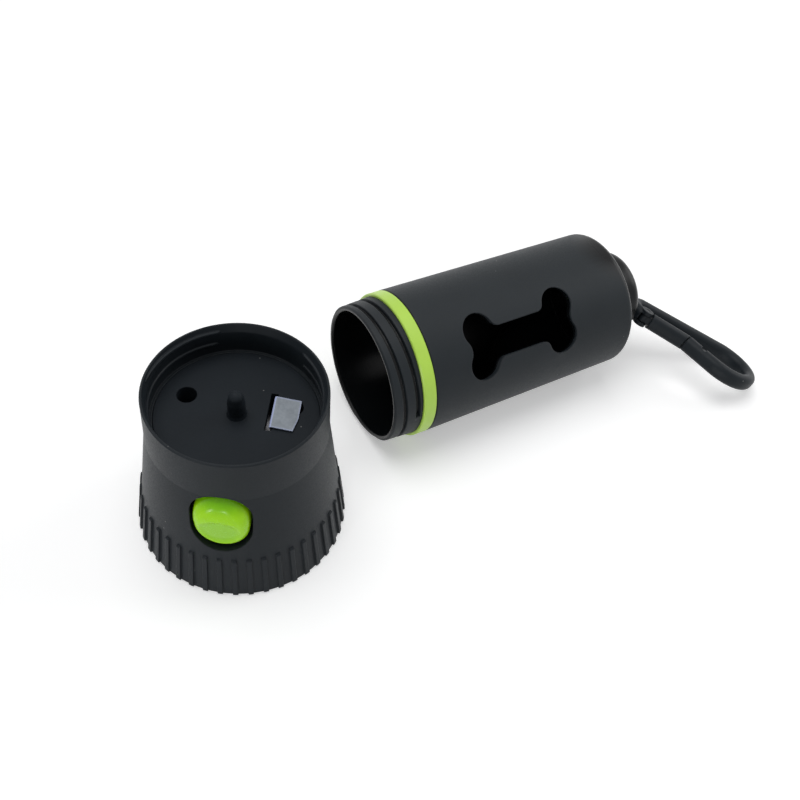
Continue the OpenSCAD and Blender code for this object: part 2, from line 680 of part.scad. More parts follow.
module bone() {
    knuckle_x = bone_len / 2 - knuckle_r;
    knuckle_y = bone_w / 2 - knuckle_r;
    // middle of the fillet between the shaft and a knuckle, and where the fillet meets the knuckle
    fillet_y = shaft_w / 2 + shaft_fillet;
    fillet_x = knuckle_x - sqrt(pow(knuckle_r + shaft_fillet, 2) - pow(fillet_y - knuckle_y, 2));
    meet = [fillet_x, fillet_y] + [knuckle_x - fillet_x, knuckle_y - fillet_y] * shaft_fillet / (knuckle_r + shaft_fillet);
    // radius of the notch between the two knuckles of one end
    dip_x = bone_len / 2 - bone_notch;
    notch_r = (pow(knuckle_r, 2) - pow(knuckle_y, 2) - pow(dip_x - knuckle_x, 2))
        / (2 * (dip_x - knuckle_x - knuckle_r));
    notch_y = knuckle_y * notch_r / (knuckle_r + notch_r);
    notch_x = dip_x + notch_r - (dip_x + notch_r - knuckle_x) * notch_r / (knuckle_r + notch_r);
    square([2 * knuckle_x, shaft_w], center = true);
    for (i = [-1, 1]) {
        for (j = [-1, 1]) {
            translate([i * knuckle_x, j * knuckle_y]) circle(r = knuckle_r);
            difference() {
                polygon([[i * fillet_x, 0], [i * fillet_x, j * shaft_w / 2], [i * meet[0], j * meet[1]],
                         [i * knuckle_x, j * knuckle_y], [i * knuckle_x, 0]]);
                translate([i * fillet_x, j * fillet_y]) circle(r = shaft_fillet);
            }
        }
        difference() {
            polygon([[0, -notch_y], [i * notch_x, -notch_y], [i * notch_x, notch_y], [0, notch_y]]);
            translate([i * (dip_x + notch_r), 0]) circle(r = notch_r);
        }
    }
}

module canister_outline() {
    polygon(concat(
        [[0, 0], [neck_r - lip_round, 0], [neck_r, lip_round], [seat_r, neck_len], [seat_r, body_z],
         [can_radius(body_z) - 0.2, body_z], [can_radius(body_z + 0.2), body_z + 0.2]],
        arc(end_r - end_round, can_len - end_round, end_round, 0, 90, 6), [[0, can_len]]));
}

module boss_outline() {
    polygon(concat([[0, can_len - end_t / 2], [boss_r, can_len - end_t / 2]],
        arc(boss_r - boss_round, can_len + boss_h - boss_round, boss_round, 0, 90, 8), [[0, can_len + boss_h]]));
}

module canister_shell() {
    color([0.24, 0.25, 0.26]) row_canister() difference() {
        rotate_extrude() canister_outline();
        translate([0, 0, -1]) cylinder(r = bore_r, h = can_len - end_t + 1);
        translate([0, 0, -eps]) cylinder(r1 = bore_r + lip_round, r2 = bore_r, h = lip_round);
        helix(seat_r + 0.4, neck_r - groove_d, groove_w + 0.5, groove_w, -180, groove_turns * 360 - 180,
            groove_start, can_len);
        rotate([0, 0, 90 + bone_turn]) translate([0, 0, bone_x]) rotate([0, 90, 0])
            linear_extrude(2 * can_r) bone();
    }
    color([0.24, 0.25, 0.26]) row_canister() difference() {
        rotate_extrude() boss_outline();
        rotate([0, 0, slot_turn]) translate([0, 0, pivot_x]) {
            translate([-eye_r - 0.4, -link_slot / 2, -eye_r - 0.4]) cube([2 * boss_r, link_slot, 2 * boss_h]);
            translate([0, boss_pin_len / 2, 0]) rotate([90, 0, 0]) cylinder(r = pin_r, h = boss_pin_len);
            rotate([-90, 0, 0]) cylinder(r = pin_r, h = 2 * boss_r);
        }
    }
}

module trim_ring() {
    color([0.62, 0.8, 0.34]) row_canister() translate([0, 0, neck_len]) difference() {
        rotate_extrude() polygon([
            [seat_r + 0.05, 0], [can_r - 0.3, 0], [can_r, 0.3], [can_r, ring_w - 0.2], [can_r - 0.2, ring_w],
            [seat_r + 0.05, ring_w]]);
    }
}

module boss_pin() {
    color("silver") row_canister() rotate([0, 0, slot_turn]) translate([0, boss_pin_len / 2, pivot_x])
        rotate([90, 0, 0]) cylinder(r = pin_r, h = boss_pin_len);
}

// ---- Snap hook ----

module hook_link() {
    head_x0 = hub_start + stem_neck + 0.2;
    color([0.2, 0.21, 0.22]) row_link() difference() {
        union() {
            translate([0, eye_w / 2, 0]) rotate([90, 0, 0]) cylinder(r = eye_r, h = eye_w);
            rotate([0, 90, 0]) cylinder(r = stem_r, h = head_x0 + eps);
            translate([head_x0, 0, 0]) rotate([0, 90, 0]) cylinder(r = stem_head_r, h = stem_head_t);
        }
        translate([0, eye_w, 0]) rotate([90, 0, 0]) cylinder(r = pin_r + run_gap, h = 2 * eye_w);
    }
}

module hub() {
    head_x0 = hub_start + stem_neck;
    difference() {
        translate([hub_start, 0, 0]) rotate([0, 90, 0]) rotate_extrude()
            polygon([[0, 0], [hub_r - 0.5, 0], [hub_r, 0.5], [hub_r, hub_len - 0.8], [hub_r - 0.8, hub_len],
                     [0, hub_len]]);
        translate([hub_start - 1, 0, 0]) rotate([0, 90, 0]) cylinder(r = stem_r + run_gap, h = stem_neck + 2);
        translate([head_x0, 0, 0]) rotate([0, 90, 0]) cylinder(r = stem_head_r + 0.15, h = stem_head_t + 0.4);
    }
}

// Section of the bar: X in the plane of the loop, Y through it
module bar_section(r) {
    for (s = [-1, 1]) translate([0, s * bar_side]) circle(r = r);
    square([2 * r, 2 * bar_side], center = true);
}

module straight_bar(from, to, r) {
    translate([from, 0, 0]) rotate([90, 0, 90]) linear_extrude(to - from) bar_section(r);
}

module arc_bar(radius, from, to) {
    rotate([0, 0, from]) rotate_extrude(angle = to - from) translate([radius, 0]) bar_section(bar_r);
}

// The gate's own frame: pivot at the origin, X along the gate
module along_gate() {
    translate([root_x, -root_r, 0]) rotate([0, 0, gate_turn]) children();
}

// The stub's own frame: X from the seam to the nose arc
module along_stub() {
    translate([gate_end, -gate_side_y, 0]) rotate([0, 0, stub_turn]) children();
}

// Everything on the stub's side of the slanted seam, half a gap away from it
module stub_side() {
    translate([gate_end, -gate_side_y, 0]) rotate([0, 0, -seam_cut])
        translate([seam_gap / 2, -back_len, -back_len]) cube(2 * back_len);
}

module gate_side() {
    translate([gate_end, -gate_side_y, 0]) rotate([0, 0, -seam_cut])
        translate([-2 * back_len - seam_gap / 2, -back_len, -back_len]) cube(2 * back_len);
}

module hook_body() {
    color([0.24, 0.25, 0.26]) row_hook() difference() {
        union() {
            hub();
            translate([root_x, 0, 0]) arc_bar(root_r, 89 + back_turn, 270);
            translate([root_x, -root_r, -bar_t / 2]) cylinder(r = bar_r, h = bar_t);
            translate([root_x - root_r * sin(back_turn), root_r * cos(back_turn), 0]) rotate([0, 0, back_turn])
                straight_bar(0, back_len, bar_r - bar_step);
            translate([nose_x, -nose_side, 0]) arc_bar(nose_r, stub_turn - 91, back_turn + 91);
            intersection() {
                along_stub() straight_bar(-bar_w, stub_len, bar_r - bar_step);
                stub_side();
            }
        }
        // slot and pin bore for the gate, and the latch recess in the stub
        translate([root_x - gate_eye_r - 0.35, -2 * root_r, -gate_slot / 2])
            cube([2 * bar_w, root_r + gate_eye_r + 0.35, gate_slot]);
        translate([root_x, -root_r, -bar_t]) cylinder(r = gate_pin_r, h = 2 * bar_t);
        along_stub() translate([recess_at, 0, bar_t / 2 - recess_depth]) intersection() {
            cylinder(r = recess_r, h = bar_r);
            translate([-recess_r, -recess_r, 0]) cube([2 * recess_r - 0.6, 2 * recess_r, bar_r]);
        }
    }
}

module hook_gate() {
    color([0.24, 0.25, 0.26]) row_hook() difference() {
        union() {
            along_gate() {
                translate([0, 0, -gate_eye_t / 2]) cylinder(r = gate_eye_r, h = gate_eye_t);
                translate([0, -gate_eye_r + 0.2, -gate_eye_t / 2])
                    cube([gate_neck + 0.5, 2 * gate_eye_r - 0.4, gate_eye_t]);
            }
            intersection() {
                along_gate() straight_bar(gate_neck, gate_len + bar_w, bar_r);
                gate_side();
            }
        }
        translate([root_x, -root_r, -gate_eye_t]) cylinder(r = gate_pin_r + run_gap, h = 2 * gate_eye_t);
    }
}

module gate_pin() {
    pin_len = bar_t - 0.2;
    color("silver") row_hook() translate([root_x, -root_r, -pin_len / 2]) cylinder(r = gate_pin_r, h = pin_len);
}

canister_shell();
trim_ring();
boss_pin();
hook_link();
hook_body();
hook_gate();
gate_pin();
head_shell();
battery_cover();
cover_screws();
battery_tray();
button_cells();
contact_leaf();
contact_plate();
isolating_tab();
led_board();
led();
reflector();
lens_seal();
lens();
lens_ring();
switch_body();
switch_plunger();
button();
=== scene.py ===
import bpy, math
from mathutils import Matrix, Vector


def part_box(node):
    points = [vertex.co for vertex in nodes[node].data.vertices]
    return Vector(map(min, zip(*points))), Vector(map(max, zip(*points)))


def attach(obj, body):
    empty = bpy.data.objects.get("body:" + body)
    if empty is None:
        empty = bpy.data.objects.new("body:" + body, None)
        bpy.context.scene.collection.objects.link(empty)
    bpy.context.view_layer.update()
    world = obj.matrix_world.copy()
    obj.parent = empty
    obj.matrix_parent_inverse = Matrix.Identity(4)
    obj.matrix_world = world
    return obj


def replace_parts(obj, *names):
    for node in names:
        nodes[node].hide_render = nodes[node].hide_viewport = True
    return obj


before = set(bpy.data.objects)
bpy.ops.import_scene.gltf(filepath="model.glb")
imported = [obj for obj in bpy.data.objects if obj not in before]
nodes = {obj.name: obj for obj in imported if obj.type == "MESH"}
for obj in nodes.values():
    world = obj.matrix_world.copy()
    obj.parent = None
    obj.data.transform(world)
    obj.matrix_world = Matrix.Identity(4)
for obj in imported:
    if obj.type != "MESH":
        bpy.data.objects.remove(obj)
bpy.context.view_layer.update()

mm = 0.001


def clearSelection():
    if bpy.context.object and bpy.context.object.mode != "OBJECT":
        bpy.ops.object.mode_set(mode="OBJECT")
    bpy.ops.object.select_all(action="DESELECT")


cameraSet = {
    "place": (-0.12638, -0.154234, 0.23764),
    "forward": (0.31744, 0.53140, -0.78539),
    "up": (0.32799, 0.71558, 0.61674),
    "sensor": 36,
    "lens": 44.12,
    "shift": (0.0579, 0.0450),
    "near": 0.01,
    "far": 20,
}


def placeCamera(v):
    clearSelection()
    bpy.ops.object.camera_add()
    camera = bpy.context.object
    camera.name = "viewCamera"
    forward = Vector(v["forward"]).normalized()
    right = forward.cross(Vector(v["up"])).normalized()
    up = right.cross(forward)
    turned = Matrix((right, up, -forward)).transposed().to_4x4()
    turned.translation = Vector(v["place"])
    camera.matrix_world = turned
    camera.data.sensor_width = v["sensor"]
    camera.data.lens = v["lens"]
    camera.data.shift_x, camera.data.shift_y = v["shift"]
    camera.data.clip_start = v["near"]
    camera.data.clip_end = v["far"]
    bpy.context.scene.camera = camera


placeCamera(cameraSet)
print("camera placed")


def feed(tree, node, sockets):
    # a socket is linked where it is given another node's output, and set where it is given a value
    for key, value in sockets.items():
        if isinstance(value, bpy.types.NodeSocket):
            tree.links.new(value, node.inputs[key])
        else:
            node.inputs[key].default_value = value


def addNode(tree, kind, sockets, **settings):
    node = tree.nodes.new(kind)
    for key, value in settings.items():
        setattr(node, key, value)
    feed(tree, node, sockets)
    return node


def calculate(tree, operation, first, second, clamp=False):
    node = addNode(tree, "ShaderNodeMath", {0: first, 1: second}, operation=operation, use_clamp=clamp)
    return node.outputs[0]


def spread(tree, value, fromRange, toRange):
    # the value's place between two limits, drawn out between two others
    node = addNode(tree, "ShaderNodeMapRange", {
        "Value": value, "From Min": fromRange[0], "From Max": fromRange[1],
        "To Min": toRange[0], "To Max": toRange[1]})
    return node.outputs[0]


studio = {
    "floorSize": 12.0,
    "floorHeight": -0.00005,
    "floorColour": (0.9, 0.9, 0.9, 1),
    "floorRoughness": 0.9,
    "floorSpecular": 0.1,
    "floorGlow": (0.36, 1.0),  # near the object and far from it
    "glowReach": (0.4, 1.5),
    "white": (1, 1, 1, 1),
    "skyColour": (0.96, 0.98, 1, 1),
    "skyStrength": 0.19,
    "aim": (0, 0, 0.02),
    "lamps": {
        "overheadLamp": {"place": (-0.1, 0.15, 0.88), "size": 0.8, "power": 4.4},
        "leftLamp": {"place": (-0.9, 0.3, 0.36), "size": 0.5, "power": 0.3},
        "rightLamp": {"place": (0.75, -0.1, 0.5), "size": 0.6, "power": 2.1},
        "leftWindow": {"place": (-0.57, -0.28, 0.1), "size": 0.11, "power": 0.5},
        "rightWindow": {"place": (-0.38, -0.48, 0.1), "size": 0.05, "power": 0.34},
    },
}


def softLamp(name, lamp, aim):
    clearSelection()
    bpy.ops.object.light_add(type="AREA", location=lamp["place"])
    light = bpy.context.object
    light.name = name
    light.data.shape = "DISK"
    light.data.size = lamp["size"]
    light.data.energy = lamp["power"]
    towards = Vector(aim) - Vector(lamp["place"])
    light.rotation_euler = towards.to_track_quat("-Z", "Y").to_euler()


def whiteRays(tree):
    # 1 where the ground is seen by the camera, or in metal and glass
    path = addNode(tree, "ShaderNodeLightPath", {})
    seen = path.outputs["Is Camera Ray"]
    for ray in ("Is Glossy Ray", "Is Transmission Ray"):
        seen = calculate(tree, "ADD", seen, path.outputs[ray], clamp=True)
    return seen


def makeWorld(v):
    world = bpy.data.worlds.new("studioWorld")
    bpy.context.scene.world = world
    world.use_nodes = True
    tree = world.node_tree
    tree.nodes.clear()
    sky = addNode(tree, "ShaderNodeBackground", {"Color": v["skyColour"], "Strength": v["skyStrength"]})
    plain = addNode(tree, "ShaderNodeBackground", {"Color": v["white"], "Strength": 1})
    both = addNode(tree, "ShaderNodeMixShader", {0: whiteRays(tree), 1: sky.outputs[0], 2: plain.outputs[0]})
    addNode(tree, "ShaderNodeOutputWorld", {"Surface": both.outputs[0]})


def paleFloor(v):
    # the floor keeps the object's shadow, and far out it glows as white as the backdrop
    material = bpy.data.materials.new("paleFloor")
    material.use_nodes = True
    tree = material.node_tree
    shader = tree.nodes["Principled BSDF"]
    feed(tree, shader, {"Base Color": v["floorColour"], "Roughness": v["floorRoughness"],
                        "Specular IOR Level": v["floorSpecular"]})
    place = addNode(tree, "ShaderNodeTexCoord", {})
    away = addNode(tree, "ShaderNodeVectorMath", {0: place.outputs["Object"]}, operation="LENGTH")
    fade = spread(tree, away.outputs["Value"], v["glowReach"], v["floorGlow"])
    strength = calculate(tree, "MULTIPLY", whiteRays(tree), fade)
    glow = addNode(tree, "ShaderNodeEmission", {"Color": v["white"], "Strength": strength})
    both = addNode(tree, "ShaderNodeAddShader", {0: shader.outputs[0], 1: glow.outputs[0]})
    feed(tree, tree.nodes["Material Output"], {"Surface": both.outputs[0]})
    return material


def makeStudio(v):
    for name, lamp in v["lamps"].items():
        softLamp(name, lamp, v["aim"])
    makeWorld(v)
    clearSelection()
    bpy.ops.mesh.primitive_plane_add(size=v["floorSize"], location=(0, 0, v["floorHeight"]))
    floor = bpy.context.object
    floor.name = "studioFloor"
    floor.data.materials.append(paleFloor(v))


makeStudio(studio)
bpy.context.scene.view_settings.view_transform = "Standard"
print("studio made")

# a Mix node's first and second input and its result, by what it mixes
mixSockets = {"RGBA": (6, 7, 2), "FLOAT": (2, 3, 0)}


def layOver(tree, kind, mask, under, over):
    # one colour or value over another, where the mask is 1
    first, second, result = mixSockets[kind]
    mix = addNode(tree, "ShaderNodeMix", {"Factor": mask, first: under, second: over}, data_type=kind)
    return mix.outputs[result]


def newGroup(name, wanted, given):
    # a socket is a colour where its value is one, and a plain number elsewhere
    group = bpy.data.node_groups.new(name, "ShaderNodeTree")
    for side, sockets in (("INPUT", wanted), ("OUTPUT", given)):
        for label, value in sockets.items():
            kind = "NodeSocketColor" if isinstance(value, tuple) else "NodeSocketFloat"
            socket = group.interface.new_socket(name=label, in_out=side, socket_type=kind)
            socket.default_value = value
    return group, group.nodes.new("NodeGroupInput").outputs, group.nodes.new("NodeGroupOutput")


grainSet = {
    "inputs": {
        "Colour": (0.1, 0.1, 0.1, 1), "Shade": 0.1, "Shade size": 70.0,
        "Grain size": 2200.0, "Roughness": 0.5,
    },
    "outputs": {"Colour": (0.1, 0.1, 0.1, 1), "Roughness": 0.5, "Height": 0.0},
    "fineDetail": 3.0,
    "fineRoughness": 0.6,
    "slowDetail": 4.0,
    "slowRoughness": 0.55,
    "noiseRange": (0.3, 0.7),
    "roughnessSwing": 0.07,
}


def grainGroup(v):
    # fine spark-eroded grain of a moulded surface, with slow shade variation
    tree, given, out = newGroup("mouldGrain", v["inputs"], v["outputs"])
    place = addNode(tree, "ShaderNodeTexCoord", {}).outputs["Object"]
    fine = addNode(tree, "ShaderNodeTexNoise", {
        "Vector": place, "Scale": given["Grain size"],
        "Detail": v["fineDetail"], "Roughness": v["fineRoughness"]})
    slow = addNode(tree, "ShaderNodeTexNoise", {
        "Vector": place, "Scale": given["Shade size"],
        "Detail": v["slowDetail"], "Roughness": v["slowRoughness"]})
    shade = spread(tree, slow.outputs["Fac"], v["noiseRange"], (-1, 1))
    around = calculate(tree, "ADD", calculate(tree, "MULTIPLY", shade, given["Shade"]), 1)
    tint = addNode(tree, "ShaderNodeVectorMath", {0: given["Colour"], "Scale": around}, operation="SCALE")
    swing = spread(tree, fine.outputs["Fac"], v["noiseRange"], (-v["roughnessSwing"], v["roughnessSwing"]))
    rough = calculate(tree, "ADD", swing, given["Roughness"])
    feed(tree, out, {"Colour": tint.outputs[0], "Roughness": rough, "Height": fine.outputs["Fac"]})
    return tree


dustSet = {
    "inputs": {"Colour": (0.1, 0.1, 0.1, 1), "Amount": 0.5, "Spacing": 260.0},
    "outputs": {"Colour": (0.1, 0.1, 0.1, 1)},
    "speck": (0.03, 0.07),  # the radius of a speck's full core and of its soft edge, in spacings
    "bareShare": 0.8,
    "lint": (0.62, 0.62, 0.6, 1),
}


def dustGroup(v):
    # sparse pale specks of lint and dust
    tree, given, out = newGroup("dustSpecks", v["inputs"], v["outputs"])
    place = addNode(tree, "ShaderNodeTexCoord", {}).outputs["Object"]
    cells = addNode(tree, "ShaderNodeTexVoronoi", {"Vector": place, "Scale": given["Spacing"]}, feature="F1")
    near = spread(tree, cells.outputs["Distance"], v["speck"], (1, 0))
    pick = addNode(tree, "ShaderNodeSeparateColor", {0: cells.outputs["Color"]}).outputs[0]
    some = calculate(tree, "MULTIPLY", near, calculate(tree, "GREATER_THAN", pick, v["bareShare"]))
    mask = calculate(tree, "MULTIPLY", some, given["Amount"])
    feed(tree, out, {"Colour": layOver(tree, "RGBA", mask, given["Colour"], v["lint"])})
    return tree


grain = grainGroup(grainSet)
dust = dustGroup(dustSet)
print("grain and dust made")


def insideBore(tree, core):
    # 1 nearer to the bore's axis than its radius, and 0 further out
    place = addNode(tree, "ShaderNodeTexCoord", {}).outputs["Object"]
    away = addNode(tree, "ShaderNodeVectorMath", {0: place, 1: core["axis"]}, operation="SUBTRACT")
    across = addNode(tree, "ShaderNodeVectorMath", {
        0: away.outputs[0], 1: core["across"]}, operation="MULTIPLY")
    reach = addNode(tree, "ShaderNodeVectorMath", {0: across.outputs[0]}, operation="LENGTH")
    edge = (core["radius"] + core["blur"], core["radius"] - core["blur"])
    return spread(tree, reach.outputs["Value"], edge, (0, 1))


# what a finish has where it doesn't say otherwise
usual = {
    "shade": 0.08, "shadeSize": 70, "grainSize": 2200, "dust": 0.5, "dustSpacing": 260,
    "bump": 0.25, "bumpDepth": 0.00004, "specular": 0.5, "metallic": 0,
    "paintedLight": {}, "core": None, "softEdge": 0, "edgeSamples": 6,
}


def grainedMaterial(name, values):
    v = {**usual, **values}
    material = bpy.data.materials.new(name)
    material.use_nodes = True
    tree = material.node_tree
    surface = addNode(tree, "ShaderNodeGroup", {
        "Colour": (*v["colour"], 1), "Shade": v["shade"], "Shade size": v["shadeSize"],
        "Grain size": v["grainSize"], "Roughness": v["roughness"]}, node_tree=grain)
    specks = addNode(tree, "ShaderNodeGroup", {
        "Colour": surface.outputs["Colour"], "Amount": v["dust"],
        "Spacing": v["dustSpacing"]}, node_tree=dust)
    colour = specks.outputs["Colour"]
    roughness = surface.outputs["Roughness"]
    for attribute, tint in v["paintedLight"].items():
        # a tint that follows the piece's own attribute: painted shade, painted reflection or painted
        # highlight, such as the painted highlight along a fold
        mark = addNode(tree, "ShaderNodeAttribute", {}, attribute_name=attribute)
        colour = layOver(tree, "RGBA", mark.outputs["Fac"], colour, (*tint, 1))
    if v["core"]:
        # inside the bore the moulding is smoother than its grained outside, and painted shade makes it darker
        inside = insideBore(tree, v["core"])
        colour = layOver(tree, "RGBA", inside, colour, (*v["core"]["colour"], 1))
        roughness = layOver(tree, "FLOAT", inside, roughness, v["core"]["roughness"])
    bump = addNode(tree, "ShaderNodeBump", {
        "Strength": v["bump"], "Distance": v["bumpDepth"], "Height": surface.outputs["Height"]})
    if v["softEdge"]:
        edge = addNode(tree, "ShaderNodeBevel", {"Radius": v["softEdge"]}, samples=v["edgeSamples"])
        feed(tree, bump, {"Normal": edge.outputs[0]})
    feed(tree, tree.nodes["Principled BSDF"], {
        "Base Color": colour, "Roughness": roughness, "Normal": bump.outputs[0],
        "Specular IOR Level": v["specular"], "Metallic": v["metallic"]})
    return material


plastics = {
    "blackShell": {
        "colour": (0.0112, 0.0146, 0.018), "roughness": 0.44, "bump": 0.3,
        "specular": 0.14, "dust": 0.22, "softEdge": 0.0005,
    },
    "canBlack": {
        "colour": (0.0128, 0.0165, 0.0198), "roughness": 0.5, "bump": 0.3,
        "specular": 0.2, "dust": 0.22, "softEdge": 0.0005,
        "core": {
            "axis": (0, 0.011126, 0.02218), "radius": 0.02, "blur": 0.0001,
            "across": (0, 1, 1),  # the bore runs along X
            # painted shade for the deep inside of the bore
            "colour": (0.003, 0.0038, 0.0045), "roughness": 0.26,
        },
    },
    "coverBlack": {
        "colour": (0.0105, 0.0138, 0.0175), "roughness": 0.55, "bump": 0.3,
        "specular": 0.1, "dust": 0.25, "softEdge": 0.0002,
    },
    "linkBlack": {
        "colour": (0.0105, 0.013, 0.0155), "roughness": 0.45,
        "specular": 0.14, "dust": 0.2, "softEdge": 0.0002,
    },
    "buttonGreen": {
        "colour": (0.38, 0.79, 0.003), "roughness": 0.24, "bump": 0.05,
        "specular": 0.24, "dust": 0.1, "shade": 0.03,
        # painted light on the button: painted shade darkens its top, and a painted reflection pales its
        # finger dish
        "paintedLight": {"topPaintedShade": (0.2, 0.58, 0.001), "dishPaintedSheen": (0.33, 0.7, 0.03)},
    },
    "ringGreen": {
        "colour": (0.5, 0.78, 0.095), "roughness": 0.34, "bump": 0.08, "dust": 0.15, "shade": 0.04,
    },
    "tabFilm": {
        "colour": (0.235, 0.265, 0.3), "roughness": 0.4, "bump": 0.1,
        "dust": 0.0, "shade": 0.16, "shadeSize": 700,
        # painted highlight along the fold and the film's edges
        "paintedLight": {"foldPaintedHighlight": (0.5, 0.57, 0.86)},
    },
    "plungerWhite": {"colour": (0.75, 0.75, 0.72), "roughness": 0.4},
    "boardGreen": {"colour": (0.03, 0.15, 0.06), "roughness": 0.35},
    "sealRubber": {"colour": (0.02, 0.02, 0.02), "roughness": 0.75},
}
made = {name: grainedMaterial(name, values) for name, values in plastics.items()}

metalGrain = {"metallic": 1, "bump": 0.1, "dust": 0.05, "shade": 0.05, "grainSize": 900}
metals = {
    "pinSteel": {"colour": (0.6, 0.6, 0.61), "roughness": 0.3},
    "cellSteel": {"colour": (0.2, 0.2, 0.21), "roughness": 0.5},
    "screwBlack": {"colour": (0.05, 0.05, 0.055), "roughness": 0.35},
    # painted shade: the contacts are darkened to near black so they read as the shade inside the tab's slot
    "contactShadedSteel": {"colour": (0.04, 0.038, 0.034), "roughness": 0.7},
    "reflectorMirror": {"colour": (0.86, 0.87, 0.88), "roughness": 0.06},
}
for name, values in metals.items():
    made[name] = grainedMaterial(name, {**metalGrain, **values})

clearGrain = {"shade": 0.02, "ior": 1.49}
clearPlastics = {
    "lensClear": {"colour": (0.96, 0.98, 0.99), "roughness": 0.07},
    "ledClear": {"colour": (0.98, 0.97, 0.86), "roughness": 0.12},
}


def clearMaterial(name, v):
    material = bpy.data.materials.new(name)
    material.use_nodes = True
    tree = material.node_tree
    surface = addNode(tree, "ShaderNodeGroup", {
        "Colour": (*v["colour"], 1), "Shade": v["shade"], "Roughness": v["roughness"]}, node_tree=grain)
    feed(tree, tree.nodes["Principled BSDF"], {
        "Base Color": surface.outputs["Colour"], "Roughness": surface.outputs["Roughness"],
        "Transmission Weight": 1, "IOR": v["ior"]})
    return material


for name, values in clearPlastics.items():
    made[name] = clearMaterial(name, {**clearGrain, **values})

wears = {
    "blackShell": ("head_shell", "lens_ring", "hook_body", "hook_gate"),
    "canBlack": ("canister_shell",),
    "coverBlack": ("battery_cover",),
    "linkBlack": ("hook_link", "battery_tray", "switch_body"),
    "buttonGreen": ("button",),
    "ringGreen": ("trim_ring",),
    "tabFilm": ("isolating_tab",),
    "plungerWhite": ("switch_plunger",),
    "boardGreen": ("led_board",),
    "sealRubber": ("lens_seal",),
    "pinSteel": ("boss_pin",),
    "cellSteel": ("button_cells",),
    "screwBlack": ("gate_pin", "cover_screws"),
    "contactShadedSteel": ("contact_leaf", "contact_plate"),
    "reflectorMirror": ("reflector",),
    "lensClear": ("lens",),
    "ledClear": ("led",),
}
for finish, wearers in wears.items():
    for name in wearers:
        nodes[name].data.materials.clear()
        nodes[name].data.materials.append(made[finish])
print("materials made")

# the battery cover is round, and its middle is on the head's own axis
coverLow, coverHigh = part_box("battery_cover")
head = {
    "axis": ((coverLow + coverHigh) / 2).xy,
    "turn": -33.5,
}


def seatOnHead(piece):
    # a piece that was drawn round the head's own axis goes where the head stands
    place = Matrix.Translation(head["axis"].to_3d())
    turn = Matrix.Rotation(math.radians(head["turn"]), 4, "Z")
    piece.data.transform(place @ turn)
    piece.data.update()


def pointOutwards():
    bpy.ops.object.mode_set(mode="EDIT")
    bpy.ops.mesh.select_all(action="SELECT")
    bpy.ops.mesh.normals_make_consistent(inside=False)
    bpy.ops.object.mode_set(mode="OBJECT")


def finishPiece(piece, name, finish, body):
    piece.name = name
    piece.data.name = name
    piece.data.materials.clear()
    piece.data.materials.append(made[finish])
    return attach(piece, body)


def clamped(share):
    return min(1.0, max(0.0, share))


def eased(share):
    share = clamped(share)
    return share * share * (3 - 2 * share)


# the head shell's rim in millimetres; a run is one stretch of thread: where it starts and how far it goes
# round the rim in degrees, the height at its start, and the share of it that sinks into the wall at its end
rim = {
    "bore": 22.35, "foot": 41.72, "leadFrom": 48.6, "lip": 23.2, "top": 51.1,
    "facets": 160, "overlap": 0.05, "merge": 0.000001,
    "pitch": 4, "round": 0.42, "corners": 28, "steps": 72, "fade": 0.05, "sink": 0.8,
    "runs": (
        {"first": 110.5, "span": 70, "height": 49.1, "fadeOut": 0.6},
        {"first": 110.5, "span": 121, "height": 45, "fadeOut": 0.1},
        {"first": -69.5, "span": 121, "height": 47.3, "fadeOut": 0.05},
        {"first": -69.5, "span": 121, "height": 43.3, "fadeOut": 0.05},
    ),
    "smoothAngle": 20, "roundLimit": 0.998, "levelLimit": 0.02, "beadReach": 1, "beadSkin": 0.02,
}


def shapeWith(piece, tool, operation):
    clearSelection()
    piece.select_set(True)
    bpy.context.view_layer.objects.active = piece
    cut = piece.modifiers.new("shape", "BOOLEAN")
    cut.operation = operation
    cut.solver = "EXACT"
    cut.object = tool
    bpy.ops.object.modifier_apply(modifier="shape")
    bpy.data.objects.remove(tool)


def roundCutter(v, low, high, topRadius):
    clearSelection()
    bpy.ops.mesh.primitive_cone_add(vertices=v["facets"], radius1=v["bore"], radius2=topRadius,
                                    depth=high - low, location=(0, 0, (low + high) / 2))
    cutter = bpy.context.object
    bpy.ops.object.transform_apply(location=True)
    cutter.data.transform(Matrix.Scale(mm, 4))
    seatOnHead(cutter)
    return cutter


def threadRidge(v, run):
    # one slender stretch of thread: a round bead wound up the wall, sinking into it at both ends
    clearSelection()
    bpy.ops.mesh.primitive_circle_add(vertices=v["corners"], radius=v["round"], rotation=(math.pi / 2, 0, 0),
                                      location=(v["bore"], 0, run["height"]))
    ridge = bpy.context.object
    bpy.ops.object.transform_apply(location=True, rotation=True)
    wind = ridge.modifiers.new("wind", "SCREW")
    wind.axis = "Z"
    wind.angle = math.radians(run["span"])
    wind.screw_offset = v["pitch"] * run["span"] / 360
    wind.steps = v["steps"]
    wind.render_steps = v["steps"]
    bpy.ops.object.modifier_apply(modifier="wind")
    for vertex in ridge.data.vertices:
        x, y, z = vertex.co
        share = clamped(math.degrees(math.atan2(y, x)) / run["span"])
        sunk = max(0.0, 1 - share / v["fade"]) ** 2 + max(0.0, 1 - (1 - share) / run["fadeOut"]) ** 2
        grow = 1 + v["sink"] * sunk / math.hypot(x, y)
        vertex.co = x * grow, y * grow, z
    bpy.ops.object.mode_set(mode="EDIT")
    bpy.ops.mesh.select_all(action="SELECT")
    bpy.ops.mesh.fill_holes(sides=0)
    pointOutwards()
    ridge.data.transform(Matrix.Scale(mm, 4) @ Matrix.Rotation(math.radians(run["first"]), 4, "Z"))
    seatOnHead(ridge)
    return ridge


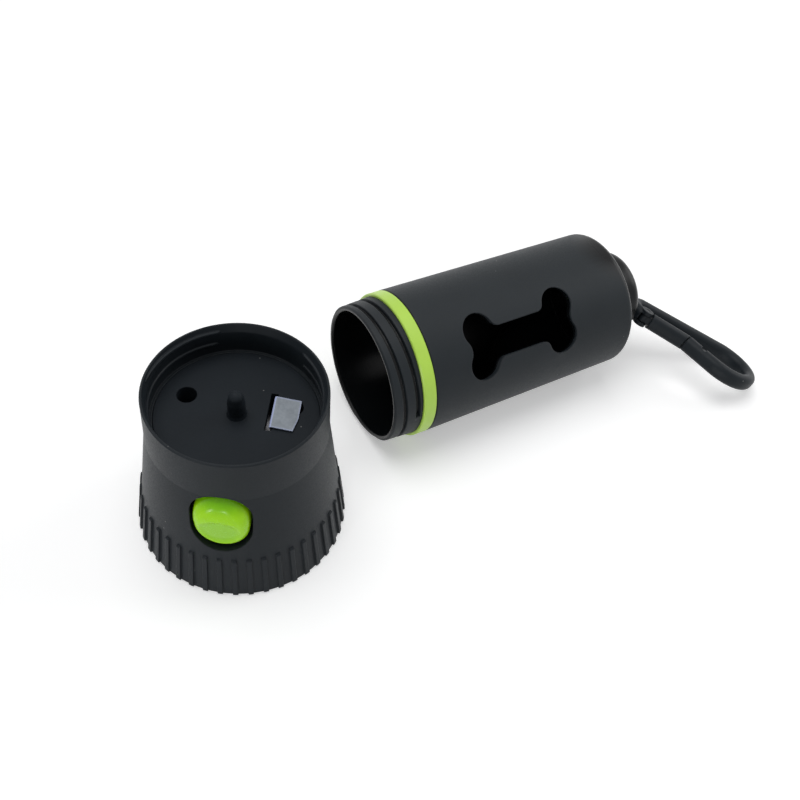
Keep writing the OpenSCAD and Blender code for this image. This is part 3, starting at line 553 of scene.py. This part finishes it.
def turnedNormals(piece, v):
    # turned walls shade as round ones, flat faces stay flat and the beads keep their own shading
    mesh = piece.data
    beadFrom, beadTo = (v["bore"] - v["beadReach"]) * mm, (v["bore"] - v["beadSkin"]) * mm
    normals = [(0.0, 0.0, 0.0)] * len(mesh.loops)
    for face in mesh.polygons:
        out = face.center.xy - head["axis"]
        level = face.normal.xy.length
        side = 1 if face.normal.xy.dot(out) > 0 else -1
        bead = face.center.z > v["foot"] * mm and beadFrom < out.length < beadTo
        if bead and level > v["levelLimit"]:
            continue
        for loop in face.loop_indices:
            vertex = mesh.vertices[mesh.loops[loop].vertex_index]
            around = side * (vertex.co.xy - head["axis"]).normalized()
            if level > v["levelLimit"] and around.dot(face.normal.xy) / level > v["roundLimit"]:
                normals[loop] = (around.x * level, around.y * level, face.normal.z)
            else:
                normals[loop] = tuple(face.normal)
    mesh.normals_split_custom_set(normals)


def slimRim(v):
    # the head shell again, with a thinner wall round its socket and slender threads
    clearSelection()
    piece = bpy.data.objects.new("headShell", nodes["head_shell"].data.copy())
    bpy.context.collection.objects.link(piece)
    piece.select_set(True)
    bpy.context.view_layer.objects.active = piece
    bpy.ops.object.mode_set(mode="EDIT")
    bpy.ops.mesh.select_all(action="SELECT")
    bpy.ops.mesh.remove_doubles(threshold=v["merge"])
    bpy.ops.object.mode_set(mode="OBJECT")
    shapeWith(piece, roundCutter(v, v["foot"], v["leadFrom"] + v["overlap"], v["bore"]), "DIFFERENCE")
    shapeWith(piece, roundCutter(v, v["leadFrom"], v["top"], v["lip"]), "DIFFERENCE")
    for run in v["runs"]:
        shapeWith(piece, threadRidge(v, run), "UNION")
    bpy.ops.object.shade_smooth_by_angle(angle=math.radians(v["smoothAngle"]))
    turnedNormals(piece, v)
    return finishPiece(piece, "headShell", "blackShell", "torch")


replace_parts(slimRim(rim), "head_shell")
print("head shell rim slimmed")

# the button in millimetres: reach and back are the distances of its face and its back from the head's axis
cap = {
    "width": 14.8, "height": 18.7, "middle": 28, "reach": 26.4, "back": 19.2,
    "grid": 80, "blend": 0.3, "edge": 2.2, "topEdge": 4, "smoothAngle": 50,
    "sideRadius": 32, "lowRadius": 90, "topRadius": 12, "crest": 1.2,
    "dishDepth": 0.6, "dishWide": 6.3, "dishTall": 5.4, "dishAside": -0.4, "dishDown": 2.6, "dishSoft": 0.42,
    "paintedShadeFrom": 4, "paintedShadeTo": 8,
}


def capFace(v, x, y, inset):
    # how far the face stands out of the button's back, and how deep in the finger dish it is, from 0 to 1
    edge = v["edge"] + (v["topEdge"] - v["edge"]) * eased(2 * y / v["width"])
    rounding = edge * (1 - math.sqrt(1 - (1 - min(inset, edge) / edge) ** 2))
    up = y - v["crest"]
    crown = x ** 2 / (2 * v["sideRadius"]) + up ** 2 / (2 * (v["topRadius"] if up > 0 else v["lowRadius"]))
    offDish = math.hypot((x - v["dishAside"]) / v["dishWide"], (y + v["dishDown"]) / v["dishTall"])
    dish = eased((1 - offDish) / v["dishSoft"])
    return v["reach"] - v["back"] - crown - rounding - v["dishDepth"] * dish, dish


def addMark(piece, name, values):
    mark = piece.data.attributes.new(name, "FLOAT", "POINT")
    mark.data.foreach_set("value", values)


def buttonCap(v):
    # drawn lying flat, with its height along Y and its face up: a square grid drawn into a long round outline
    clearSelection()
    half = v["width"] / 2
    straight = (v["height"] - v["width"]) / 2
    bpy.ops.mesh.primitive_grid_add(x_subdivisions=v["grid"], y_subdivisions=v["grid"], size=2)
    piece = bpy.context.object
    bpy.ops.object.mode_set(mode="EDIT")
    bpy.ops.mesh.select_all(action="SELECT")
    bpy.ops.mesh.region_to_loop()
    bpy.ops.mesh.extrude_region_move(TRANSFORM_OT_translate={"value": (0, 0, -1)})
    bpy.ops.mesh.edge_face_add()
    bpy.ops.object.mode_set(mode="OBJECT")
    topPaintedShade, dishPaintedSheen = [], []
    for vertex in piece.data.vertices:
        across, along, level = vertex.co
        x = half * across * math.sqrt(1 - along ** 2 / 2)
        y = half * along * math.sqrt(1 - across ** 2 / 2)
        inset = max(0.0, half - math.hypot(x, y))
        y += straight * math.tanh(y / half / v["blend"])
        high, dish = (0, 0) if level < 0 else capFace(v, x, y, inset)  # the extruded back stays flat
        vertex.co = x, y, high
        # painted shade: the button darkens towards its top edge, where the pocket's upper lip shades it
        topPaintedShade.append(eased((y - v["paintedShadeFrom"]) / (v["paintedShadeTo"] - v["paintedShadeFrom"])))
        # painted reflection: the finger dish is paler and greyer, standing in for the sheen it reflects
        dishPaintedSheen.append(dish)
    addMark(piece, "topPaintedShade", topPaintedShade)
    addMark(piece, "dishPaintedSheen", dishPaintedSheen)
    standUp = Matrix(((1, 0, 0, 0), (0, 0, -1, -v["back"]), (0, 1, 0, v["middle"]), (0, 0, 0, 1)))
    piece.data.transform(Matrix.Scale(mm, 4) @ standUp)
    pointOutwards()
    bpy.ops.object.shade_smooth_by_angle(angle=math.radians(v["smoothAngle"]))
    seatOnHead(piece)
    return finishPiece(piece, "buttonCap", "buttonGreen", "button")


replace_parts(buttonCap(cap), "button")
print("button cap modelled")

# the tab in millimetres: face is its distance from the head's axis, foot and fold are heights, and bendFrom
# and bendTo are the shares of the strip where it leaves its slot and where it lies flat
tab = {
    "face": 9.25, "thick": 0.28, "gap": 0.01, "foot": 29.7, "fold": 41.76, "lean": 0.45,
    "grid": (60, 18), "bendFrom": 0.2, "bendTo": 0.6, "bend": 0.6, "droop": 1.5, "smoothAngle": 40,
    "flap": 6.5, "wide": 10.3, "aside": 1.75, "skew": 0.085, "cornerCut": 0.9, "cornerRun": 4.4,
    "narrow": 1.8, "narrowRun": 0.05,
    "curl": 0.1, "wave": 0.05, "wavesAcross": 5, "wavesAlong": 4, "waveStart": 1,
    # how the painted highlight fades across the fold, and how strongly it lightens the film's edges
    "foldHighlightFade": 0.7, "edgeFrom": 0.94, "edgeHighlight": 0.45,
}


def tabPoint(v, share, side):
    # share runs from the strip's foot to its free end, and side from -1 to 1 across it
    radius = v["bend"] - v["thick"] / 2 - v["gap"]
    droop = math.radians(v["droop"])
    bent = clamped((share - v["bendFrom"]) / (v["bendTo"] - v["bendFrom"]))
    turned = bent * (math.pi / 2 + droop)
    flat = max(0.0, (share - v["bendTo"]) / (1 - v["bendTo"]))
    toCorner = max(0.0, ((-side - 1) * v["wide"] / 2 + v["cornerRun"]) / v["cornerRun"])
    reach = (v["flap"] - v["cornerCut"] * toCorner) * flat
    x = v["face"] + v["thick"] / 2 + v["gap"] + radius * (1 - math.cos(turned)) + reach * math.cos(droop)
    x -= v["lean"] * min(1.0, share / v["bendFrom"])
    y = v["aside"] + side * v["wide"] / 2 - v["skew"] * reach
    y -= min(0.0, side) * v["narrow"] * clamped((v["bendFrom"] - share) / v["narrowRun"])
    z = v["fold"] + radius * math.sin(turned) - reach * math.sin(droop) + v["curl"] * flat ** 2 * side ** 2
    z += v["wave"] * math.sin(v["wavesAcross"] * side + v["waveStart"]) * math.sin(v["wavesAlong"] * flat)
    z -= (v["fold"] - v["foot"]) * max(0.0, 1 - share / v["bendFrom"])
    # painted highlight: lighter along the fold's bend and near the film's edges and free end
    foldHighlightMask = math.sin(bent * math.pi) ** v["foldHighlightFade"]
    edge = max(0.0, max(flat, abs(side)) - v["edgeFrom"]) / (1 - v["edgeFrom"])
    mark = max(foldHighlightMask, v["edgeHighlight"] * edge) if share > v["bendFrom"] else 0
    return (x, y, z), mark


def pullTab(v):
    # a flat strip that is bent over the edge of its slot
    clearSelection()
    bpy.ops.mesh.primitive_grid_add(x_subdivisions=v["grid"][0], y_subdivisions=v["grid"][1], size=1)
    piece = bpy.context.object
    foldPaintedHighlight = []
    for vertex in piece.data.vertices:
        vertex.co, mark = tabPoint(v, vertex.co.x + 0.5, vertex.co.y * 2)
        foldPaintedHighlight.append(mark)
    addMark(piece, "foldPaintedHighlight", foldPaintedHighlight)
    piece.data.transform(Matrix.Scale(mm, 4))
    film = piece.modifiers.new("film", "SOLIDIFY")
    film.thickness = v["thick"] * mm
    film.offset = 0
    bpy.ops.object.modifier_apply(modifier="film")
    bpy.ops.object.shade_smooth_by_angle(angle=math.radians(v["smoothAngle"]))
    seatOnHead(piece)
    return finishPiece(piece, "pullTab", "tabFilm", "tab")


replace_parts(pullTab(tab), "isolating_tab")
print("pull tab modelled")
